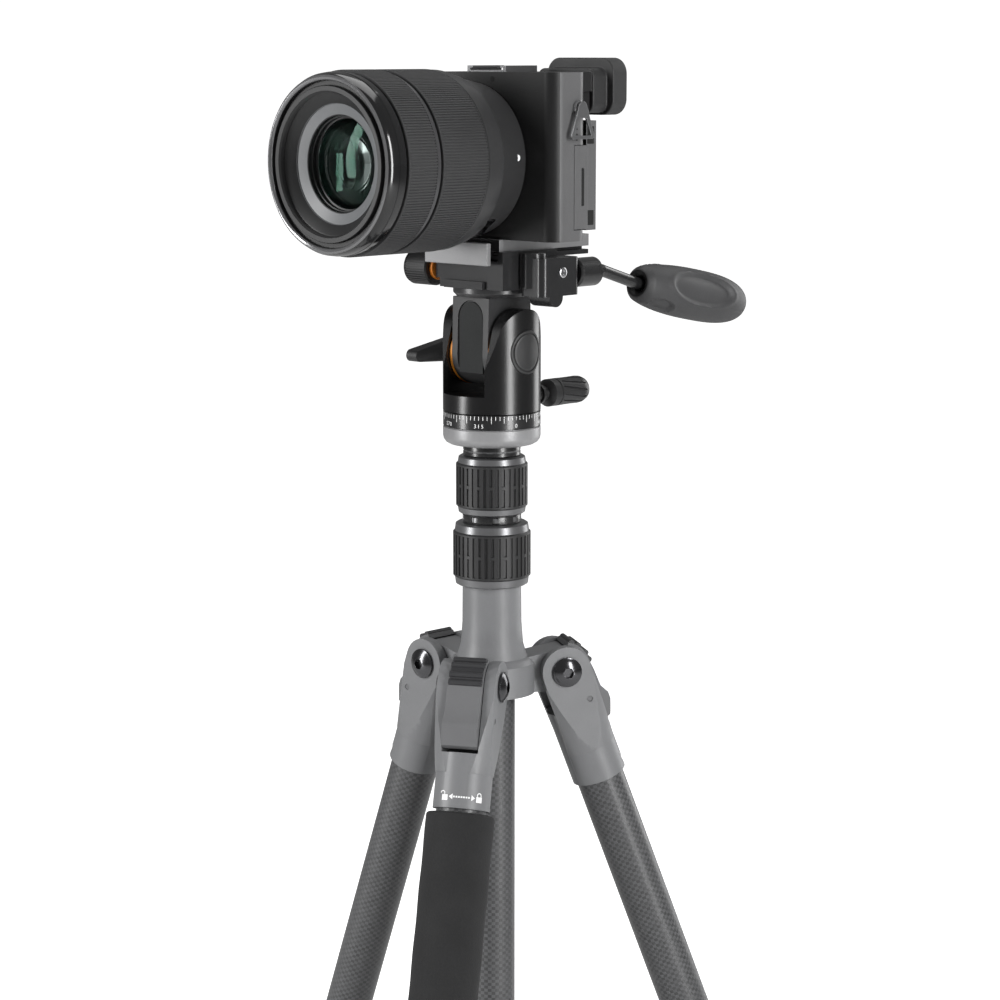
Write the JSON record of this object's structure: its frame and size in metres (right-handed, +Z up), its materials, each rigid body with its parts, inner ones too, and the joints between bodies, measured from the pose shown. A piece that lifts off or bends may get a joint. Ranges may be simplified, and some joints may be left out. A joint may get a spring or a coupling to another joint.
{
  "type": "mirrorless camera on tripod",
  "caption": "Mirrorless camera with a zoom lens on a pan-and-tilt head, on a folding three-leg travel tripod with a centre column.",
  "frame": {"origin": "on the floor under the centre column's axis", "axes": "+Z up along the column; the lens looks along -Y; the camera's left side is +X"},
  "size_m": [0.2922, 0.3293, 0.6606],
  "materials": {
    "grey_casting": "satin grey coat on die-cast metal",
    "bolt_black": "black socket screws",
    "lock_tab": "satin dark grey",
    "carbon": "woven carbon under matt clear coat",
    "lock_rubber": "ribbed matt rubber",
    "foam": "closed-cell foam",
    "foot_rubber": "matt rubber foot on a grey tube",
    "light_grey_metal": "satin mid grey anodised",
    "black_metal": "semi-gloss black fine texture",
    "cap_plastic": "matt black insert",
    "friction_disc": "orange friction disc",
    "knob_rubber": "ribbed rubber knob",
    "clamp_metal": "satin dark grey anodised",
    "screw_steel": "turned steel",
    "handle_metal": "semi-gloss black",
    "grip_rubber": "soft matt rubber",
    "camera_shell": "fine textured black",
    "screen_glass": "gloss black display in a matt frame",
    "eyecup_rubber": "soft matt rubber",
    "dial_metal": "knurled black",
    "button_black": "satin black",
    "door_plastic": "textured black cover",
    "strap_steel": "polished wire ring",
    "lens_shell": "satin black barrel",
    "ring_rubber": "ribbed rubber ring",
    "lens_front": "gloss black rim",
    "coated_glass": "coated front element"
  },
  "bodies": {
    "spider": {"spider": "grey_casting", "leg_pivot_bolts": "bolt_black"},
    "front_leg": {"front_leg_casting": "grey_casting", "front_upper_tube": "carbon", "foam_grip": "foam"},
    "front_angle_lock": {"front_angle_lock": "lock_tab"},
    "front_upper_lock": {"front_upper_lock": "lock_rubber"},
    "front_middle": {"front_middle_tube": "carbon"},
    "front_lower_lock": {"front_lower_lock": "lock_rubber"},
    "front_lower": {"front_lower_tube": "foot_rubber"},
    "right_leg": {"right_leg_casting": "grey_casting", "right_upper_tube": "carbon"},
    "right_angle_lock": {"right_angle_lock": "lock_tab"},
    "right_upper_lock": {"right_upper_lock": "lock_rubber"},
    "right_middle": {"right_middle_tube": "carbon"},
    "right_lower_lock": {"right_lower_lock": "lock_rubber"},
    "right_lower": {"right_lower_tube": "foot_rubber"},
    "left_leg": {"left_leg_casting": "grey_casting", "left_upper_tube": "carbon"},
    "left_angle_lock": {"left_angle_lock": "lock_tab"},
    "left_upper_lock": {"left_upper_lock": "lock_rubber"},
    "left_middle": {"left_middle_tube": "carbon"},
    "left_lower_lock": {"left_lower_lock": "lock_rubber"},
    "left_lower": {"left_lower_tube": "foot_rubber"},
    "column_lower_lock": {"column_lower_lock": "lock_rubber"},
    "column": {"column_tube": "carbon"},
    "column_upper_lock": {"column_upper_lock": "lock_rubber"},
    "inner_column": {"column_inner_tube": "carbon", "head_base": "light_grey_metal"},
    "pan_fork": {"fork": "black_metal", "fork_cap": "cap_plastic"},
    "pan_knob": {"pan_knob": "knob_rubber"},
    "tilt_knob": {"tilt_knob": "handle_metal"},
    "tilt_head": {"tilt_block": "black_metal", "friction_discs": "friction_disc", "clamp_body": "clamp_metal"},
    "clamp_jaw": {"clamp_jaw": "clamp_metal"},
    "clamp_knob": {"clamp_knob": "knob_rubber"},
    "handle": {"handle_rod": "handle_metal", "handle_grip": "grip_rubber"},
    "camera": {"quick_release_plate": "light_grey_metal", "camera_screw": "screw_steel", "phone_jaw": "light_grey_metal", "camera_body": "camera_shell", "top_cover": "camera_shell", "eyecup": "eyecup_rubber", "lens_barrel": "lens_shell"},
    "screen": {"screen": "screen_glass"},
    "shutter_button": {"shutter_button": "button_black"},
    "power_lever": {"power_lever": "dial_metal"},
    "mode_dial": {"mode_dial": "dial_metal"},
    "control_dial": {"control_dial": "dial_metal"},
    "terminal_door": {"terminal_door": "door_plastic"},
    "battery_door": {"battery_door": "door_plastic"},
    "lens_release_button": {"lens_release_button": "button_black"},
    "strap_rings": {"strap_rings": "strap_steel"},
    "zoom_ring": {"zoom_ring": "ring_rubber"},
    "focus_ring": {"focus_ring": "ring_rubber"},
    "front_barrel": {"front_barrel": "lens_front", "lens_glass": "coated_glass"}
  },
  "joints": [
    {"name": "front_leg_splay", "type": "hinge", "parent": "spider", "child": "front_leg", "pos_m": [0.01408, -0.02593, 0.405], "axis": [0.8788, 0.4772, 0], "range_deg": [0, 20.5]},
    {"name": "front_angle_lock_rock", "type": "hinge", "parent": "front_leg", "child": "front_angle_lock", "pos_m": [0.01894, -0.03487, 0.3929], "axis": [0.8788, 0.4772, 0], "range_deg": [0, 12], "stiffness_Nm_per_rad": 0.05, "springref_deg": -8.59},
    {"name": "front_upper_lock_turn", "type": "hinge", "parent": "front_leg", "child": "front_upper_lock", "pos_m": [0.07173, -0.13211, 0.08185], "axis": [0.1671, -0.3078, -0.9367], "range_deg": [0, 100]},
    {"name": "front_middle_slide", "type": "slide", "parent": "front_leg", "child": "front_middle", "axis": [0.1671, -0.3078, -0.9367], "range_m": [0, 0.25]},
    {"name": "front_lower_lock_turn", "type": "hinge", "parent": "front_middle", "child": "front_lower_lock", "pos_m": [0.07674, -0.14134, 0.05375], "axis": [0.1671, -0.3078, -0.9367], "range_deg": [0, 100]},
    {"name": "front_lower_slide", "type": "slide", "parent": "front_middle", "child": "front_lower", "axis": [0.1671, -0.3078, -0.9367], "range_m": [0, 0.265]},
    {"name": "right_leg_splay", "type": "hinge", "parent": "spider", "child": "right_leg", "pos_m": [0.01541, 0.02515, 0.405], "axis": [-0.8526, 0.5225, 0], "range_deg": [0, 20.5]},
    {"name": "right_angle_lock_rock", "type": "hinge", "parent": "right_leg", "child": "right_angle_lock", "pos_m": [0.02073, 0.03383, 0.3929], "axis": [-0.8526, 0.5225, 0], "range_deg": [0, 12], "stiffness_Nm_per_rad": 0.05, "springref_deg": -8.59},
    {"name": "right_upper_lock_turn", "type": "hinge", "parent": "right_leg", "child": "right_upper_lock", "pos_m": [0.07854, 0.12817, 0.08185], "axis": [0.183, 0.2986, -0.9367], "range_deg": [0, 100]},
    {"name": "right_middle_slide", "type": "slide", "parent": "right_leg", "child": "right_middle", "axis": [0.183, 0.2986, -0.9367], "range_m": [0, 0.25]},
    {"name": "right_lower_lock_turn", "type": "hinge", "parent": "right_middle", "child": "right_lower_lock", "pos_m": [0.08403, 0.13713, 0.05375], "axis": [0.183, 0.2986, -0.9367], "range_deg": [0, 100]},
    {"name": "right_lower_slide", "type": "slide", "parent": "right_middle", "child": "right_lower", "axis": [0.183, 0.2986, -0.9367], "range_m": [0, 0.265]},
    {"name": "left_leg_splay", "type": "hinge", "parent": "spider", "child": "left_leg", "pos_m": [-0.02949, 0.00077, 0.405], "axis": [-0.0262, -0.9997, 0], "range_deg": [0, 20.5]},
    {"name": "left_angle_lock_rock", "type": "hinge", "parent": "left_leg", "child": "left_angle_lock", "pos_m": [-0.03967, 0.00104, 0.3929], "axis": [-0.0262, -0.9997, 0], "range_deg": [0, 12], "stiffness_Nm_per_rad": 0.05, "springref_deg": -8.59},
    {"name": "left_upper_lock_turn", "type": "hinge", "parent": "left_leg", "child": "left_upper_lock", "pos_m": [-0.15027, 0.00394, 0.08185], "axis": [-0.3501, 0.0092, -0.9367], "range_deg": [0, 100]},
    {"name": "left_middle_slide", "type": "slide", "parent": "left_leg", "child": "left_middle", "axis": [-0.3501, 0.0092, -0.9367], "range_m": [0, 0.25]},
    {"name": "left_lower_lock_turn", "type": "hinge", "parent": "left_middle", "child": "left_lower_lock", "pos_m": [-0.16077, 0.00421, 0.05375], "axis": [-0.3501, 0.0092, -0.9367], "range_deg": [0, 100]},
    {"name": "left_lower_slide", "type": "slide", "parent": "left_middle", "child": "left_lower", "axis": [-0.3501, 0.0092, -0.9367], "range_m": [0, 0.265]},
    {"name": "column_lower_lock_turn", "type": "hinge", "parent": "spider", "child": "column_lower_lock", "pos_m": [0, 0, 0.455], "axis": [0, 0, 1], "range_deg": [0, 90]},
    {"name": "column_slide", "type": "slide", "parent": "spider", "child": "column", "axis": [0, 0, 1], "range_m": [0, 0.23]},
    {"name": "column_upper_lock_turn", "type": "hinge", "parent": "column", "child": "column_upper_lock", "pos_m": [0, 0, 0.485], "axis": [0, 0, 1], "range_deg": [0, 90]},
    {"name": "inner_column_slide", "type": "slide", "parent": "column", "child": "inner_column", "axis": [0, 0, 1], "range_m": [0, 0.19]},
    {"name": "pan_turn", "type": "hinge", "parent": "inner_column", "child": "pan_fork", "pos_m": [0, 0, 0.5163], "axis": [0, 0, 1], "continuous": true},
    {"name": "pan_knob_turn", "type": "hinge", "parent": "pan_fork", "child": "pan_knob", "pos_m": [0, 0.04, 0.5199], "axis": [0, 1, 0], "range_deg": [0, 360]},
    {"name": "tilt_knob_turn", "type": "hinge", "parent": "pan_fork", "child": "tilt_knob", "pos_m": [-0.03, 0, 0.5395], "axis": [1, 0, 0], "range_deg": [0, 180]},
    {"name": "head_tilt", "type": "hinge", "parent": "pan_fork", "child": "tilt_head", "pos_m": [0, 0, 0.5395], "axis": [1, 0, 0], "range_deg": [-40, 90]},
    {"name": "clamp_jaw_slide", "type": "slide", "parent": "tilt_head", "child": "clamp_jaw", "axis": [-1, 0, 0], "range_m": [0, 0.0034]},
    {"name": "clamp_knob_turn", "type": "hinge", "parent": "clamp_jaw", "child": "clamp_knob", "pos_m": [-0.035, -0.003, 0.5737], "axis": [-1, 0, 0], "range_deg": [0, 1230]},
    {"name": "handle_turn", "type": "hinge", "parent": "tilt_head", "child": "handle", "pos_m": [0.0285, 0.018, 0.5735], "axis": [0, 1, 0], "continuous": true},
    {"name": "plate_slide", "type": "slide", "parent": "tilt_head", "child": "camera", "axis": [0, -1, 0], "range_m": [0, 0.04]},
    {"name": "screen_tilt", "type": "hinge", "parent": "camera", "child": "screen", "pos_m": [0.0075, 0.0153, 0.636], "axis": [1, 0, 0], "range_deg": [0, 90]},
    {"name": "shutter_press", "type": "slide", "parent": "camera", "child": "shutter_button", "axis": [0, 0, -1], "range_m": [0, 0.001], "stiffness_N_per_m": 400, "springref_m": -0.0005},
    {"name": "power_lever_turn", "type": "hinge", "parent": "camera", "child": "power_lever", "pos_m": [-0.06, -0.02, 0.65], "axis": [0, 0, 1], "range_deg": [0, 40]},
    {"name": "mode_dial_turn", "type": "hinge", "parent": "camera", "child": "mode_dial", "pos_m": [-0.036, 0, 0.652], "axis": [0, 0, 1], "continuous": true},
    {"name": "control_dial_turn", "type": "hinge", "parent": "camera", "child": "control_dial", "pos_m": [-0.058, 0.002, 0.652], "axis": [0, 0, 1], "continuous": true},
    {"name": "terminal_door_swing", "type": "hinge", "parent": "camera", "child": "terminal_door", "pos_m": [0.0462, 0.0084, 0.6094], "axis": [0, 0, 1], "range_deg": [0, 100]},
    {"name": "battery_door_swing", "type": "hinge", "parent": "camera", "child": "battery_door", "pos_m": [-0.0713, -0.0123, 0.5879], "axis": [0, 1, 0], "range_deg": [0, 95]},
    {"name": "lens_release_press", "type": "slide", "parent": "camera", "child": "lens_release_button", "axis": [0, 1, 0], "range_m": [0, 0.0015], "stiffness_N_per_m": 300, "springref_m": -0.0005},
    {"name": "strap_ring_swing", "type": "hinge", "parent": "camera", "child": "strap_rings", "pos_m": [0.0075, 0.0015, 0.641], "axis": [1, 0, 0], "range_deg": [-80, 80]},
    {"name": "zoom_turn", "type": "hinge", "parent": "camera", "child": "zoom_ring", "pos_m": [0, -0.05, 0.62], "axis": [0, -1, 0], "range_deg": [0, 61]},
    {"name": "focus_turn", "type": "hinge", "parent": "camera", "child": "focus_ring", "pos_m": [0, -0.0745, 0.62], "axis": [0, -1, 0], "continuous": true},
    {"name": "barrel_slide", "type": "slide", "parent": "camera", "child": "front_barrel", "axis": [0, -1, 0], "range_m": [0, 0.025]}
  ],
  "couplings": [
    {"joint": "zoom_turn", "follows": "barrel_slide", "rad_per_m": 41.888},
    {"joint": "clamp_knob_turn", "follows": "clamp_jaw_slide", "rad_per_m": 6283.2}
  ]
}
